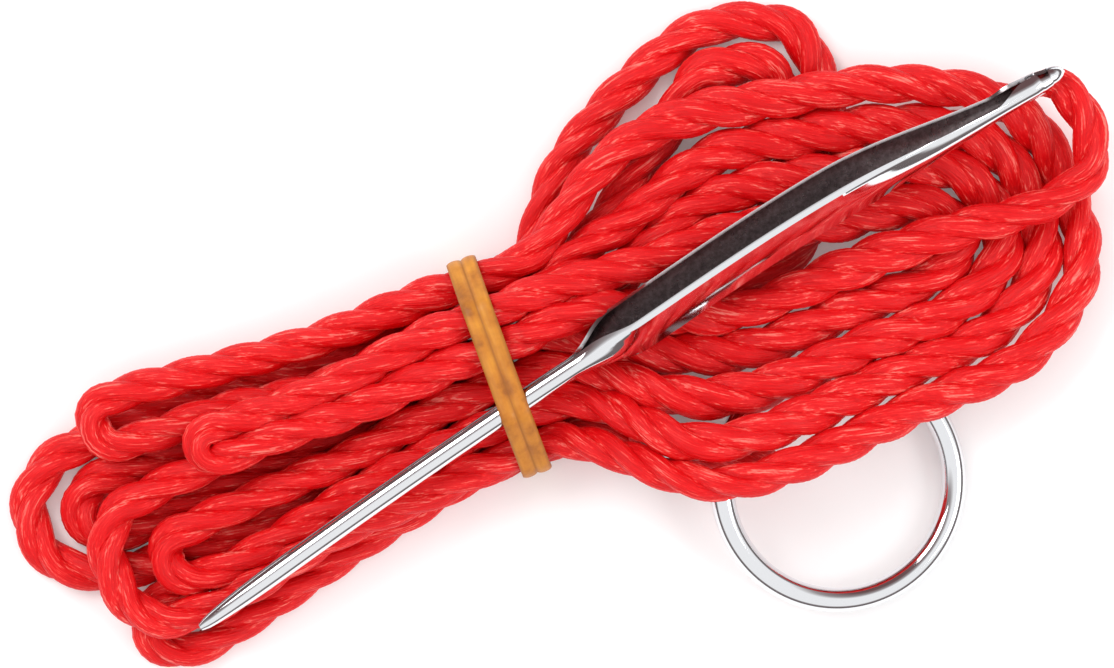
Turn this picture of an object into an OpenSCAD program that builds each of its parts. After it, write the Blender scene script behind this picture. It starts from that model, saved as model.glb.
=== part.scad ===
// Fish stringer: a twisted cord wound into a hank, held at its waist by a rubber band.
// One end of the cord goes round a steel ring and is crimped, the other ends at a rolled steel needle.
// The hank lies flat, +X runs along it and +Z is up.

/* [Cord] */
// Diameter of the twisted cord
cord_d = 3.8; // [3.7:0.05:3.85]
// Clear space between neighbouring passes at the waist
waist_gap = 0.6; // [0.6:0.05:0.7]
// Clear space between one layer of passes and the next
layer_gap = 0.6; // [0.6:0.05:0.8]
// Clear space between loops that lie inside one another
nest_gap = 1.1; // [1:0.05:1.2]

/* [Hank] */
// From the waist to the farthest loop end on the ring's side
reach_ring = 73.5; // [73:0.5:77]
// From the waist to the farthest loop end on the other side
reach_free = 60.8; // [60:0.5:65]
// Half the width that the loops spread to
spread = 30; // [29.5:0.25:32]
// Length of the straight passes under the rubber band
hold = 8; // [7:0.5:9]

/* [Ring] */
// Outer diameter of the ring
ring_d = 32; // [30:0.5:34]
// Diameter of the ring's wire
ring_wire_d = 3; // [2.6:0.1:3.2]

/* [Crimp] */
// Length of the crimped sleeve
crimp_l = 4.5; // [3.5:0.25:5.5]
// Wall of the sleeve
crimp_wall = 0.5; // [0.3:0.05:0.6]

/* [Needle] */
// Length of the needle
needle_l = 124.6; // [122:0.5:128]
// Diameter of the rolled pin
pin_d = 2.6; // [2.2:0.1:2.8]
// Outer diameter of the open trough
trough_d = 7; // [6:0.1:7.2]
// Diameter of the nose where it leaves the trough
nose_d = 3; // [2.8:0.1:3.4]
// Thickness of the sheet steel
sheet_t = 0.5; // [0.35:0.05:0.6]
// How far the needle bends sideways
needle_bow = 2; // [1:0.25:2.5]

/* [Rubber band] */
// Width of the band
band_w = 3.7; // [3:0.1:4.5]
// Thickness of the band
band_t = 0.7; // [0.5:0.05:0.75]
// Clear space between the band and what it holds
band_gap = 0.3; // [0.25:0.05:0.4]

/* [Hidden] */

cord_r = cord_d / 2;
wire_r = ring_wire_d / 2;
ring_r = ring_d / 2 - wire_r;
waist_step = cord_d + waist_gap;
layer_step = cord_d + layer_gap;
nest_step = cord_d + nest_gap;
flat_cut_share = 0.1;
first_gap_share = 0.8;
first_lift_share = 0.15;
hank_sides = 6;
lead_sides = 8;

// The lowest passes sit this high, so that their flat lies on the ground
low_z = cord_r * cos(180 / hank_sides) - cord_d * flat_cut_share;
// The waist is lifted so that the band passes under it
waist_lift = band_t + first_gap_share * band_gap + first_lift_share * cord_d;
lift_run = 22;

// Where the ring lies, from the middle of the waist
ring_x = 34.2;
ring_y = -27.5;
eye_turn = 145;
eye_aim = 150;
eye_z = 6.2;
eye_gap = 0.9;
eye_r = cord_r + wire_r + eye_gap;
leg_gap = 0.3;
leg_rise = 0.3;
crimp_start = 6;
tail_over = 1.5;
crimp_gap = 0.05;
ring_tilt = asin((eye_z - wire_r) / (2 * ring_r));
ring_z = wire_r + ring_r * sin(ring_tilt);
eye_x = ring_x + ring_r * cos(ring_tilt) * cos(eye_turn);
eye_y = ring_y + ring_r * cos(ring_tilt) * sin(eye_turn);
eye_dir = [cos(eye_aim), sin(eye_aim), 0];
eye_side = [sin(eye_aim), -cos(eye_aim), 0];
leg_z = eye_z - eye_r + leg_rise;
tail_z = leg_z + cord_d + leg_gap;
crimp_end = crimp_start + crimp_l;

// The loops rise over the ring's crimped eye
rise_h = 9.6;
rise_x = 36;
rise_y_near = 19;
rise_y_far = 36;
rise_run = 8;

// The needle lies on the hank, and its point and nose are at these places from the middle of the waist
needle_at = [-44.9, -17.4, 8.9];
needle_aim = 12.9;
needle_end_z = 12;
needle_lift = 3.4;
needle_roll = 60;

// The passes at the waist in the order that the cord makes them: column, layer
columns = 6;
passes = [[5, 0], [4, 0], [0, 0], [3, 0], [1, 0], [2, 0], [3, 1],
          [4, 1], [1, 1], [0, 1], [5, 1], [2, 1], [1, 2], [2, 2]];

// Each loop end has three places: where it opens out, its tip and where it closes in.
// Places are shares of the reach and of the spread.
outer_share = [[0.517, 0.657], [1, -0.123], [0.653, -0.757]];
lean_share = 0.3;
bulge_share = 0.05;
climb_share = 0.85;
run_shares = [0, 0.1, 0.38];
quarter_rings = 3;

function at_reach(shares, reach) = [for (p = shares) [reach * p.x, spread * p.y]];

// The outermost loop end, drawn in by a number of steps
function nested(k) =
    let (p = at_reach(outer_share, reach_ring), s = k * nest_step)
    [p[0] - s * [lean_share, 1], p[1] - s * [1, 0], p[2] - s * [lean_share, -1]];
function turned(p) = [p[2], p[1], p[0]];
function ring_side(shares) = at_reach(shares, reach_ring);
function free_side(shares) = at_reach(shares, reach_free);

// Side of the waist, three places, layer at each place, share of each run in which it spreads
loops = [
    [-1, free_side([[0.757, -0.657], [0.844, -0.547], [0.757, -0.437]]), [0, 0, 0], [1, 1]],
    [1, ring_side([[0.381, -0.07], [0.667, 0.777], [0.49, 1.01]]), [0, 0, 0], [1, 0.58]],
    [-1, free_side([[0.822, 0.293], [1, 0.01], [0.757, -0.287]]), [0, 0, 0], [1, 1]],
    [1, ring_side([[0.381, 0.083], [0.599, 0.693], [0.469, 0.863]]), [0, 0, 0.4], [1, 1]],
    [-1, free_side([[0.806, 0.137], [0.901, 0.003], [0.806, -0.127]]), [0, 0, 0], [1, 1]],
    [1, nested(2), [1.1, 0.4, 1.15], [0.78, 0.6]],
    [-1, free_side([[0.691, -0.18], [0.757, -0.27], [0.691, -0.36]]), [1, 1, 1], [1, 1]],
    [1, turned(nested(1)), [1, 0.2, 1.05], [0.45, 0.76]],
    [-1, free_side([[0.748, 0.247], [0.803, 0.337], [0.748, 0.427]]), [1, 1, 1], [1, 1]],
    [1, nested(0), [1.3, 0.1, 1.3], [0.6, 0.32]],
    [-1, free_side([[0.757, -0.527], [0.872, -0.29], [0.757, -0.03]]), [1, 1, 1], [1, 1]],
    [1, ring_side([[0.593, -0.28], [0.795, -0.123], [0.457, 0.15]]), [1.05, 0.5, 1.3], [0.78, 1]],
    [-1, free_side([[0.559, 0.21], [0.625, 0.117], [0.559, 0.023]]), [2, 2.05, 2.1], [1, 1]]
];
first_over_ring = 5;

function ease(u) = (1 - cos(180 * u)) / 2;
function part_of(u, share) = ease(min(1, u / share));
function level(layer) = low_z + layer * layer_step;
function column_y(c) = ((columns - 1) / 2 - c) * waist_step;
function climb(a, b, u) = a + (b - a) * part_of(u, climb_share);
function round_climb(a, b, u) = a + (b - a) * ease(b < a ? u * u : 1 - pow(1 - u, 2));
function lift(x) = waist_lift * (1 - ease(min(1, max(0, abs(x) - hold / 2) / lift_run)));
function rise(x, y) =
    let (dy = y - eye_y, far = dy > 0 ? rise_y_near : rise_y_far)
    rise_h * pow(cos(90 * min(1, norm([(x - eye_x) / rise_x, dy / far]))), 2)
        * ease(min(1, max(0, (x - hold / 2) / rise_run)));

// One loop end from its pass at the waist to the next, as points along the cord
function loop_points(i) =
    let (side = loops[i][0], p = loops[i][1], spreads = loops[i][3],
         z = [for (layer = loops[i][2]) level(layer)],
         a = passes[i], b = passes[i + 1], x0 = hold / 2,
         ya = column_y(a.x), yb = column_y(b.x), za = level(a.y), zb = level(b.y),
         raw = [
             for (u = run_shares)
                 [x0 + (p[0].x - x0) * u,
                  ya + (p[0].y - ya) * part_of(u, spreads[0]),
                  climb(za, z[0], u)],
             for (j = [0 : quarter_rings - 1])
                 let (u = j / quarter_rings, m = 1 + bulge_share * pow(sin(180 * u), 2))
                 [p[0].x + (p[1].x - p[0].x) * sin(90 * u) * m,
                  p[1].y + (p[0].y - p[1].y) * cos(90 * u) * m,
                  round_climb(z[0], z[1], u)],
             for (j = [0 : quarter_rings - 1])
                 let (u = j / quarter_rings, m = 1 + bulge_share * pow(sin(180 * u), 2))
                 [p[2].x + (p[1].x - p[2].x) * cos(90 * u) * m,
                  p[1].y + (p[2].y - p[1].y) * sin(90 * u) * m,
                  round_climb(z[1], z[2], u)],
             for (j = [len(run_shares) : -1 : 1])
                 let (u = j == len(run_shares) ? 1 : run_shares[j])
                 [x0 + (p[2].x - x0) * u,
                  yb + (p[2].y - yb) * part_of(u, spreads[1]),
                  climb(z[2], zb, 1 - u)],
             [x0, yb, zb]
         ])
    [for (q = raw)
        [side * q.x, q.y,
         q.z + lift(q.x) + (side > 0 && i >= first_over_ring ? rise(q.x, q.y) : 0)]];

hank_points = [for (i = [0 : len(loops) - 1]) each loop_points(i)];
hank_start = [hold / 2, column_y(passes[0].x), level(passes[0].y) + waist_lift];
last_pass = passes[len(loops)];
hank_end = [hold / 2, column_y(last_pass.x), level(last_pass.y) + waist_lift];
hank_route = concat([hank_start], hank_points, [hank_end]);

// Measures the least clear space between stretches of the hank that aren't neighbours along it
function along(route, n) =
    [for (i = [0 : len(route) - 2], j = [0 : n - 1]) route[i] + (route[i + 1] - route[i]) * j / n];
function lengths(route) = [for (i = [1 : len(route) - 1]) norm(route[i] - route[i - 1])];
function total(list, i = 0) = i < len(list) ? list[i] + total(list, i + 1) : 0;
function least_gap(route, n, skip) =
    let (q = along(route, n))
    min([for (i = [0 : len(q) - 1], j = [i + skip : 1 : len(q) - 1]) norm(q[i] - q[j])]) - cord_d;
measure_points = 4;
measure_skip = 14;
echo(hank_length = total(lengths(hank_route)));
echo(least_gap_to_itself = least_gap(hank_route, measure_points, measure_skip));

// The free end of the cord, from the top of the waist to the needle's nose, chosen by hand
needle_route = [[4, 2.2, 11.6], [8, 2.2, 11.6], [11, 2, 11.3], [13.6, 2, 10.2], [16, 2.1, 8.8],
                [20, 1.4, 7.4], [26, 0.2, 6.8], [34, -1.8, 6.8], [44, -4.4, 8.2], [52, -4.4, 8.8],
                [58, -4.2, 9], [65, -4.3, 8.4], [71, -4.2, 7.6], [77, -2, 7.4], [78.8, 3, 7.9],
                [76.6, 8, 8.5], [74.2, 9.6, 8.7]];
// The short stretch from the hank to the ring's crimped eye, chosen by hand
lead_route = [[13.4, -14, 2.2], [10.8, -12.5, 2.2], [8.6, -11.4, 2.6], [7.2, -11, 2.8], [4, -11, 2.8]];

// A tube along a route: each ring is square to the route, its first point to the side
function unit(v) = v / norm(v);
function ahead(route, i) =
    let (n = len(route) - 1)
    i == 0 ? unit(route[1] - route[0]) :
    i == n ? unit(route[n] - route[n - 1]) :
    unit(unit(route[i] - route[i - 1]) + unit(route[i + 1] - route[i]));
function tube_ring(p, t, side, r, sides, floor) =
    let (up = cross(side, t))
    [for (j = [0 : sides - 1])
        let (a = 360 * j / sides, q = p + r * (cos(a) * side + sin(a) * up))
        floor ? [q.x, q.y, max(0, q.z)] : q];
function band_faces(rings, n) =
    [for (i = [0 : rings - 2], j = [0 : n - 1])
        let (a = i * n + j, b = i * n + (j + 1) % n, c = b + n, d = a + n)
        each [[a, b, c], [a, c, d]]];
function fan(first, n, back) =
    [for (j = [1 : n - 2]) back ? [first, first + j + 1, first + j] : [first, first + j, first + j + 1]];

module tube(route, r, sides, side, floor = false) {
    n = len(route);
    points = [for (i = [0 : n - 1])
        let (t = ahead(route, i), s = is_undef(side) ? unit(cross(t, [0, 0, 1])) : side)
        each tube_ring(route[i], t, s, r, sides, floor)];
    polyhedron(points, concat(band_faces(n, sides), fan(0, sides, true), fan((n - 1) * sides, sides, false)));
}

// The part's origin is under the middle of its hard pieces
needle_dir = [cos(needle_aim), sin(needle_aim), 0];
needle_tip = needle_at + needle_l * needle_dir;
band_top = column_y(0) + cord_r + band_gap + band_t;
origin_x = (needle_at.x + needle_tip.x) / 2;
origin_y = (ring_y - ring_d / 2 + band_top) / 2;

module placed() {
    translate([-origin_x, -origin_y, 0])
        children();
}

module cord_hank() {
    color("#e0202a")
        placed()
            tube(hank_route, cord_r, hank_sides, floor = true);
}

module ring_lead() {
    color("#e0202a")
        placed()
            tube(lead_route, cord_r, lead_sides);
}

module needle_lead() {
    color("#e0202a")
        placed()
            tube(needle_route, cord_r, lead_sides);
}

// The cord's end goes round the ring's wire and back beside itself
eye_steps = 8;
eye_lap = 25;
leg_run = 1;
function beside_eye(along, z) = [eye_x, eye_y, z] + along * eye_dir;
eye_route = concat(
    [beside_eye(crimp_end + tail_over, tail_z), beside_eye(crimp_start - leg_run, tail_z)],
    [for (i = [0 : eye_steps])
        let (a = (180 + eye_lap) * i / eye_steps - eye_lap)
        beside_eye(-eye_r * sin(a), eye_z + eye_r * cos(a))],
    [beside_eye(crimp_start - leg_run, leg_z), beside_eye(crimp_end, leg_z)]);

module ring_eye() {
    color("#e0202a")
        placed()
            tube(eye_route, cord_r, lead_sides, side = eye_side);
}

// Outline of a sleeve round both legs of the eye
module two_legs(r) {
    translate([leg_z, 0])
        circle(r, $fn = 48);
    translate([tail_z, 0])
        circle(r, $fn = 48);
    translate([leg_z, -r])
        square([tail_z - leg_z, 2 * r]);
}

module ring_crimp() {
    seam = crimp_wall;
    color("#b9babc")
        placed()
            translate(beside_eye(crimp_start, 0))
                rotate([0, -90, eye_aim])
                    mirror([0, 0, 1])
                        linear_extrude(crimp_l)
                            difference() {
                                two_legs(cord_r + crimp_gap + crimp_wall);
                                two_legs(cord_r + crimp_gap);
                                translate([(leg_z + tail_z - seam) / 2, 0])
                                    square([seam, cord_d]);
                            }
}

// The ring leans on the cord's eye and touches the ground on its far side
module ring() {
    color("#c9ccd1")
        placed()
            translate([ring_x, ring_y, ring_z])
                rotate([0, -ring_tilt, eye_turn])
                    rotate_extrude($fn = 120)
                        translate([ring_r, 0])
                            circle(wire_r, $fn = 32);
}

// Rolled sheet needle: places are shares of its length from the point
pin_r = pin_d / 2;
trough_r = trough_d / 2;
nose_r = nose_d / 2;
neck_share = [0.44, 0.52];
shoulder_share = [0.74, 0.97];
close_share = [0.92, 0.965];
point_share = 0.1;
end_share = 0.012;
nose_taper_share = 0.6;
hole_share = [0.973, 0.984];
hole_edge = 0.001;
point_width_share = 0.35;
end_width_share = 0.12;
wall_share = 0.55;
pin_seam = 9;
trough_open = 76;
nose_seam = 12;
hole_open = 48;
arc_steps = 12;

function blend(a, b, edges, t) =
    a + (b - a) * ease(max(0, min(1, (t - edges[0]) / (edges[1] - edges[0]))));
function nose_radius(t) =
    let (u = max(0, (t - shoulder_share[1]) / (1 - shoulder_share[1])))
    nose_r * (1 - (1 - nose_taper_share) * u);
function radius(t) =
    let (body = t < shoulder_share[0] ? blend(pin_r, trough_r, neck_share, t)
                                      : blend(trough_r, nose_radius(t), shoulder_share, t))
    body * (t < point_share ? point_width_share + (1 - point_width_share) * sqrt(sin(90 * t / point_share))
                            : 1)
         * (t > 1 - end_share ? sqrt(max(end_width_share, 1 - pow((t - 1 + end_share) / end_share, 2))) : 1);
function opening(t) =
    let (body = t < shoulder_share[0] ? blend(pin_seam, trough_open, neck_share, t)
                                      : blend(trough_open, nose_seam, close_share, t))
    t > hole_share[0] && t < hole_share[1] ? hole_open : body;

function steps(a, b, n) = [for (i = [0 : n - 1]) a + (b - a) * i / n];
stations = concat(
    steps(0, point_share, 6),
    steps(point_share, neck_share[0], 5),
    steps(neck_share[0], neck_share[1], 8),
    steps(neck_share[1], shoulder_share[0], 9),
    steps(shoulder_share[0], close_share[0], 7),
    steps(close_share[0], shoulder_share[1], 7),
    [for (h = hole_share) each [h - hole_edge, h + hole_edge]],
    steps(1 - end_share, 1, 6),
    [1]);

needle_left = [-sin(needle_aim), cos(needle_aim), 0];
function needle_point(t) =
    let (bow = 4 * t * (1 - t))
    needle_at + t * needle_l * needle_dir + needle_bow * bow * needle_left
        + [0, 0, (needle_end_z - needle_at.z) * t + needle_lift * bow];
needle_axis = [for (t = stations) needle_point(t)];

module needle() {
    n = len(stations);
    ring_count = 2 * (arc_steps + 1);
    points = [for (i = [0 : n - 1])
        let (t = ahead(needle_axis, i), side = unit(cross(t, [0, 0, 1])), up = cross(side, t),
             r = radius(stations[i]), g = opening(stations[i]), w = min(sheet_t, wall_share * r))
        each [for (k = [0 : ring_count - 1])
            let (outer = k <= arc_steps, j = outer ? k : ring_count - 1 - k,
                 a = 90 + needle_roll + g + (360 - 2 * g) * j / arc_steps, q = outer ? r : r - w)
            needle_axis[i] + q * (cos(a) * side + sin(a) * up)]];
    function cap(first, back) =
        [for (j = [0 : arc_steps - 1])
            let (a = first + j, b = a + 1, c = first + ring_count - 2 - j, d = c + 1)
            each back ? [[a, c, b], [a, d, c]] : [[a, b, c], [a, c, d]]];
    color("#c9ccd1")
        placed()
            polyhedron(points, concat(band_faces(n, ring_count), cap(0, true),
                                      cap((n - 1) * ring_count, false)));
}

// The band goes round all the passes and the needle's pin
pin_at_waist = needle_point(-needle_at.x / needle_l);
function pass_place(p) = [column_y(p.x), level(p.y) + waist_lift];
band_holds = [[column_y(0), band_gap + band_t + cord_r], [column_y(columns - 1), band_gap + band_t + cord_r],
              pass_place([0, 1]), pass_place([5, 1]), pass_place([1, 2]), pass_place([2, 2])];

module band_outline(grow) {
    hull() {
        for (p = band_holds)
            translate(p)
                circle(cord_r + grow, $fn = 40);
        translate([pin_at_waist.y, pin_at_waist.z])
            circle(pin_r + grow, $fn = 40);
    }
}

module rubber_band() {
    color("#e0902c")
        placed()
            translate([-band_w / 2, 0, 0])
                rotate([90, 0, 90])
                    linear_extrude(band_w)
                        difference() {
                            band_outline(band_gap + band_t);
                            band_outline(band_gap);
                        }
}

echo(origin = [origin_x, origin_y], eye = beside_eye(0, eye_z), crimp_end = beside_eye(crimp_end, leg_z));
echo(ring = [ring_x, ring_y, ring_z], ring_tilt = ring_tilt, hank_start = hank_start, hank_end = hank_end);
echo(needle_at = needle_at, needle_tip = needle_point(1), pin_at_waist = pin_at_waist);

cord_hank();
ring_lead();
ring_eye();
ring_crimp();
ring();
needle();
needle_lead();
rubber_band();
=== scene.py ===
"""Fish stringer: red twisted cord wound into a hank, with a steel ring, a rolled needle and a rubber band."""
import math

import bpy
import numpy as np
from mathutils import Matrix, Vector


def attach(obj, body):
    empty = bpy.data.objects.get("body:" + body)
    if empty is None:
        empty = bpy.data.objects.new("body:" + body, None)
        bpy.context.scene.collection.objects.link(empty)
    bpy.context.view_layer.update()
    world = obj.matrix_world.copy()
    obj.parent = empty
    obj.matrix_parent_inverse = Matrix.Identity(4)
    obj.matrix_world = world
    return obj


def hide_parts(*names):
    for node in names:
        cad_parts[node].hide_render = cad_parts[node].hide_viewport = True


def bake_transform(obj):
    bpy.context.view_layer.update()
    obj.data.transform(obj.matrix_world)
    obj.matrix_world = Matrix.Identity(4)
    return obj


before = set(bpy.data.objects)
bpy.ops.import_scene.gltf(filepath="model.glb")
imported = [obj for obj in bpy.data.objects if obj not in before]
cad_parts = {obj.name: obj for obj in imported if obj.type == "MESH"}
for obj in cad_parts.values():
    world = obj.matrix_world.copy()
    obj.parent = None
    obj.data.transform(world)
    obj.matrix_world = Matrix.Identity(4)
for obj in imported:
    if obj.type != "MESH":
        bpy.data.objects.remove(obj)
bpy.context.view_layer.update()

MM = 0.001
PHOTO_W = 1114

# ---------------------------------------------------------------- sizes, in millimetres from the waist's middle
CORD_D = 3.8
HOLD = 8.0
WAIST_GAP, LAYER_GAP, NEST_GAP = 0.6, 0.6, 1.1
REACH_RING, REACH_FREE, SPREAD = 73.5, 60.8, 30.0
RING_D, RING_WIRE_D = 32.0, 3.0
CRIMP_L = 4.5
NEEDLE_L, PIN_D, TROUGH_D, NOSE_D, SHEET_T, NEEDLE_BOW = 124.6, 2.6, 7.0, 3.0, 0.5, 2.0
BAND_W, BAND_T, BAND_GAP = 3.7, 0.7, 0.3

CORD_R = CORD_D / 2
WAIST_STEP, LAYER_STEP, NEST_STEP = CORD_D + WAIST_GAP, CORD_D + LAYER_GAP, CORD_D + NEST_GAP
LOW_Z = CORD_R * math.cos(math.pi / 6) - CORD_D * 0.1
WAIST_LIFT = BAND_T + 0.8 * BAND_GAP + 0.15 * CORD_D
LIFT_RUN = 22.0

RING_AT = (34.2, -27.5)
RING_R, WIRE_R = RING_D / 2 - RING_WIRE_D / 2, RING_WIRE_D / 2
EYE_TURN, EYE_AIM, EYE_Z = math.radians(145), math.radians(150), 6.2
EYE_R = CORD_R + WIRE_R + 0.9
CRIMP_START, CRIMP_END, TAIL_OVER, LEG_RUN = 6.0, 10.5, 1.5, 1.0
RING_TILT = math.asin((EYE_Z - WIRE_R) / (2 * RING_R))
RING_Z = WIRE_R + RING_R * math.sin(RING_TILT)
EYE_X = RING_AT[0] + RING_R * math.cos(RING_TILT) * math.cos(EYE_TURN)
EYE_Y = RING_AT[1] + RING_R * math.cos(RING_TILT) * math.sin(EYE_TURN)
LEG_Z = EYE_Z - EYE_R + 0.3
TAIL_Z = LEG_Z + CORD_D + 0.3

RISE_H, RISE_X, RISE_NEAR, RISE_FAR, RISE_RUN = 9.6, 36.0, 19.0, 36.0, 8.0

NEEDLE_AT = np.array([-44.9, -17.4, 8.9])
NEEDLE_AIM, NEEDLE_END_Z, NEEDLE_LIFT, NEEDLE_ROLL = math.radians(12.9), 12.0, 3.4, 60.0
NEEDLE_DIR = np.array([math.cos(NEEDLE_AIM), math.sin(NEEDLE_AIM), 0.0])
NEEDLE_LEFT = np.array([-math.sin(NEEDLE_AIM), math.cos(NEEDLE_AIM), 0.0])

COLUMNS = 6
BAND_TOP = (COLUMNS - 1) / 2 * WAIST_STEP + CORD_R + BAND_GAP + BAND_T
ORIGIN = np.array([NEEDLE_AT[0] + NEEDLE_L * math.cos(NEEDLE_AIM) / 2, (RING_AT[1] - RING_D / 2 + BAND_TOP) / 2, 0.0])


def placed(points):
    """From the waist's middle, in millimetres, to the part's own frame, in metres."""
    return (np.asarray(points, float) - ORIGIN) * MM


# ---------------------------------------------------------------- the cord's route
# Each pass of the waist: its column and its layer
PASSES = [(5, 0), (4, 0), (0, 0), (3, 0), (1, 0), (2, 0), (3, 1),
          (4, 1), (1, 1), (0, 1), (5, 1), (2, 1), (1, 2), (2, 2)]
OUTER = [(0.517, 0.657), (1, -0.123), (0.653, -0.757)]
LEAN, BULGE, CLIMB = 0.3, 0.05, 0.85
RUNS = (0, 0.1, 0.38)
QUARTER = 3


def at_reach(shares, reach):
    return [(reach * x, SPREAD * y) for x, y in shares]


def nested(k):
    (ax, ay), (tx, ty), (bx, by) = at_reach(OUTER, REACH_RING)
    s = k * NEST_STEP
    return [(ax - s * LEAN, ay - s), (tx - s, ty), (bx - s * LEAN, by + s)]


def ring_side(*shares):
    return at_reach(shares, REACH_RING)


def free_side(*shares):
    return at_reach(shares, REACH_FREE)


# Each loop: its side, its three places, its layers there, and how early its two halves spread
LOOPS = [
    (-1, free_side((0.757, -0.657), (0.844, -0.547), (0.757, -0.437)), (0, 0, 0), (1, 1)),
    (1, ring_side((0.381, -0.07), (0.667, 0.777), (0.49, 1.01)), (0, 0, 0), (1, 0.58)),
    (-1, free_side((0.822, 0.293), (1, 0.01), (0.757, -0.287)), (0, 0, 0), (1, 1)),
    (1, ring_side((0.381, 0.083), (0.599, 0.693), (0.469, 0.863)), (0, 0, 0.4), (1, 1)),
    (-1, free_side((0.806, 0.137), (0.901, 0.003), (0.806, -0.127)), (0, 0, 0), (1, 1)),
    (1, nested(2), (1.1, 0.4, 1.15), (0.78, 0.6)),
    (-1, free_side((0.691, -0.18), (0.757, -0.27), (0.691, -0.36)), (1, 1, 1), (1, 1)),
    (1, nested(1)[::-1], (1, 0.2, 1.05), (0.45, 0.76)),
    (-1, free_side((0.748, 0.247), (0.803, 0.337), (0.748, 0.427)), (1, 1, 1), (1, 1)),
    (1, nested(0), (1.3, 0.1, 1.3), (0.6, 0.32)),
    (-1, free_side((0.757, -0.527), (0.872, -0.29), (0.757, -0.03)), (1, 1, 1), (1, 1)),
    (1, ring_side((0.593, -0.28), (0.795, -0.123), (0.457, 0.15)), (1.05, 0.5, 1.3), (0.78, 1)),
    (-1, free_side((0.559, 0.21), (0.625, 0.117), (0.559, 0.023)), (2, 2.05, 2.1), (1, 1)),
]
FIRST_OVER_RING = 5


def ease(u):
    return (1 - math.cos(math.pi * u)) / 2


def part_of(u, share):
    return ease(min(1, u / share))


def level(layer):
    return LOW_Z + layer * LAYER_STEP


def column_y(c):
    return ((COLUMNS - 1) / 2 - c) * WAIST_STEP


def climb(a, b, u):
    return a + (b - a) * part_of(u, CLIMB)


def round_climb(a, b, u):
    return a + (b - a) * ease(u * u if b < a else 1 - (1 - u) ** 2)


def lift(x):
    return WAIST_LIFT * (1 - ease(min(1, max(0, abs(x) - HOLD / 2) / LIFT_RUN)))


def rise(x, y):
    dy = y - EYE_Y
    far = RISE_NEAR if dy > 0 else RISE_FAR
    reach = min(1, math.hypot((x - EYE_X) / RISE_X, dy / far))
    return RISE_H * math.cos(math.pi / 2 * reach) ** 2 * ease(min(1, max(0, (x - HOLD / 2) / RISE_RUN)))


# Where soft cords have settled: loop, its half, how far across and up, about which place along, over what length
SETTLED = [(5, 1, -2.2, 0, 21, 18), (11, 0, -3.6, 0, 21, 18), (3, 0, 1.5, 0, 24, 18), (1, 1, -4.2, 0, 18, 17),
           (3, 1, -2.4, 0, 18, 17), (9, 0, -1.2, 0, 52, 28), (8, 1, -1.2, 0, 28, 24), (2, 0, -0.8, 0, 28, 24),
           (6, 1, 0.9, 0.4, 22, 16), (10, 0, -1, 0.4, 26, 20), (9, 1, 1, 0, 40, 28)]


def settled(i, half, x):
    across = up = 0
    for loop, side, dy, dz, middle, reach in SETTLED:
        if (loop, side) == (i, half):
            share = math.cos(math.pi / 2 * min(1, abs(x - middle) / reach)) ** 2
            across, up = across + dy * share, up + dz * share
    return across, up


def loop_points(i):
    side, (a, t, b), layers, spreads = LOOPS[i]
    z = [level(n) for n in layers]
    (ca, la), (cb, lb) = PASSES[i], PASSES[i + 1]
    ya, yb, za, zb, x0 = column_y(ca), column_y(cb), level(la), level(lb), HOLD / 2
    out = [(x0 + (a[0] - x0) * u, ya + (a[1] - ya) * part_of(u, spreads[0]), climb(za, z[0], u)) for u in RUNS]
    for j in range(QUARTER):
        u = j / QUARTER
        m, q = 1 + BULGE * math.sin(math.pi * u) ** 2, math.pi / 2 * u
        out.append((a[0] + (t[0] - a[0]) * math.sin(q) * m, t[1] + (a[1] - t[1]) * math.cos(q) * m,
                    round_climb(z[0], z[1], u)))
    for j in range(QUARTER):
        u = j / QUARTER
        m, q = 1 + BULGE * math.sin(math.pi * u) ** 2, math.pi / 2 * u
        out.append((b[0] + (t[0] - b[0]) * math.cos(q) * m, t[1] + (b[1] - t[1]) * math.sin(q) * m,
                    round_climb(z[1], z[2], u)))
    for u in (1,) + RUNS[:0:-1] + (0,):
        out.append((x0 + (b[0] - x0) * u, yb + (b[1] - yb) * part_of(u, spreads[1]), climb(z[2], zb, 1 - u)))
    over = side > 0 and i >= FIRST_OVER_RING
    route = []
    for k, (x, y, h) in enumerate(out):
        across, up = settled(i, int(k >= len(out) // 2), x)
        route.append((side * x, y + across, h + up + lift(x) + (rise(x, y) if over else 0)))
    return route


def pass_end(k):
    c, layer = PASSES[k]
    return (HOLD / 2, column_y(c), level(layer) + WAIST_LIFT)


HANK = [pass_end(0)] + [p for i in range(len(LOOPS)) for p in loop_points(i)] + [pass_end(-1)]
NEEDLE_LEAD = [(4, 2.2, 11.6), (8, 2.2, 11.6), (11, 1.8, 11.3), (13.6, 1.2, 10.2), (16, 0, 8.8), (20, -1.8, 7.6),
               (26, -3.1, 7), (34, -3.2, 7.2), (44, -3.3, 8.4), (52, -3.2, 9), (58, -3.4, 9.2), (65, -4.1, 8.5),
               (70.5, -4, 7.6), (75.8, -2, 7.4), (77.4, 3, 7.9), (76.4, 7.6, 8.7), (74.6, 9.4, 9.4),
               (73.2, 9.6, 10.6), (71.8, 9.4, 11.7), (70.4, 9.1, 12.3)]
RING_LEAD = [(13.4, -14, 2.2), (10.8, -12.5, 2.2), (8.6, -11.4, 2.6), (7.2, -11, 2.8), (4, -11, 2.8)]


def beside_eye(along, z):
    return (EYE_X + along * math.cos(EYE_AIM), EYE_Y + along * math.sin(EYE_AIM), z)


EYE = [beside_eye(CRIMP_END + TAIL_OVER, TAIL_Z), beside_eye(CRIMP_START - LEG_RUN, TAIL_Z)]
EYE += [beside_eye(-EYE_R * math.sin(a), EYE_Z + EYE_R * math.cos(a))
        for a in (math.radians(205 * i / 8 - 25) for i in range(9))]
EYE += [beside_eye(CRIMP_START - LEG_RUN, LEG_Z), beside_eye(CRIMP_END, LEG_Z)]

STEP, FINE_STEP = 0.7, 0.15


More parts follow.
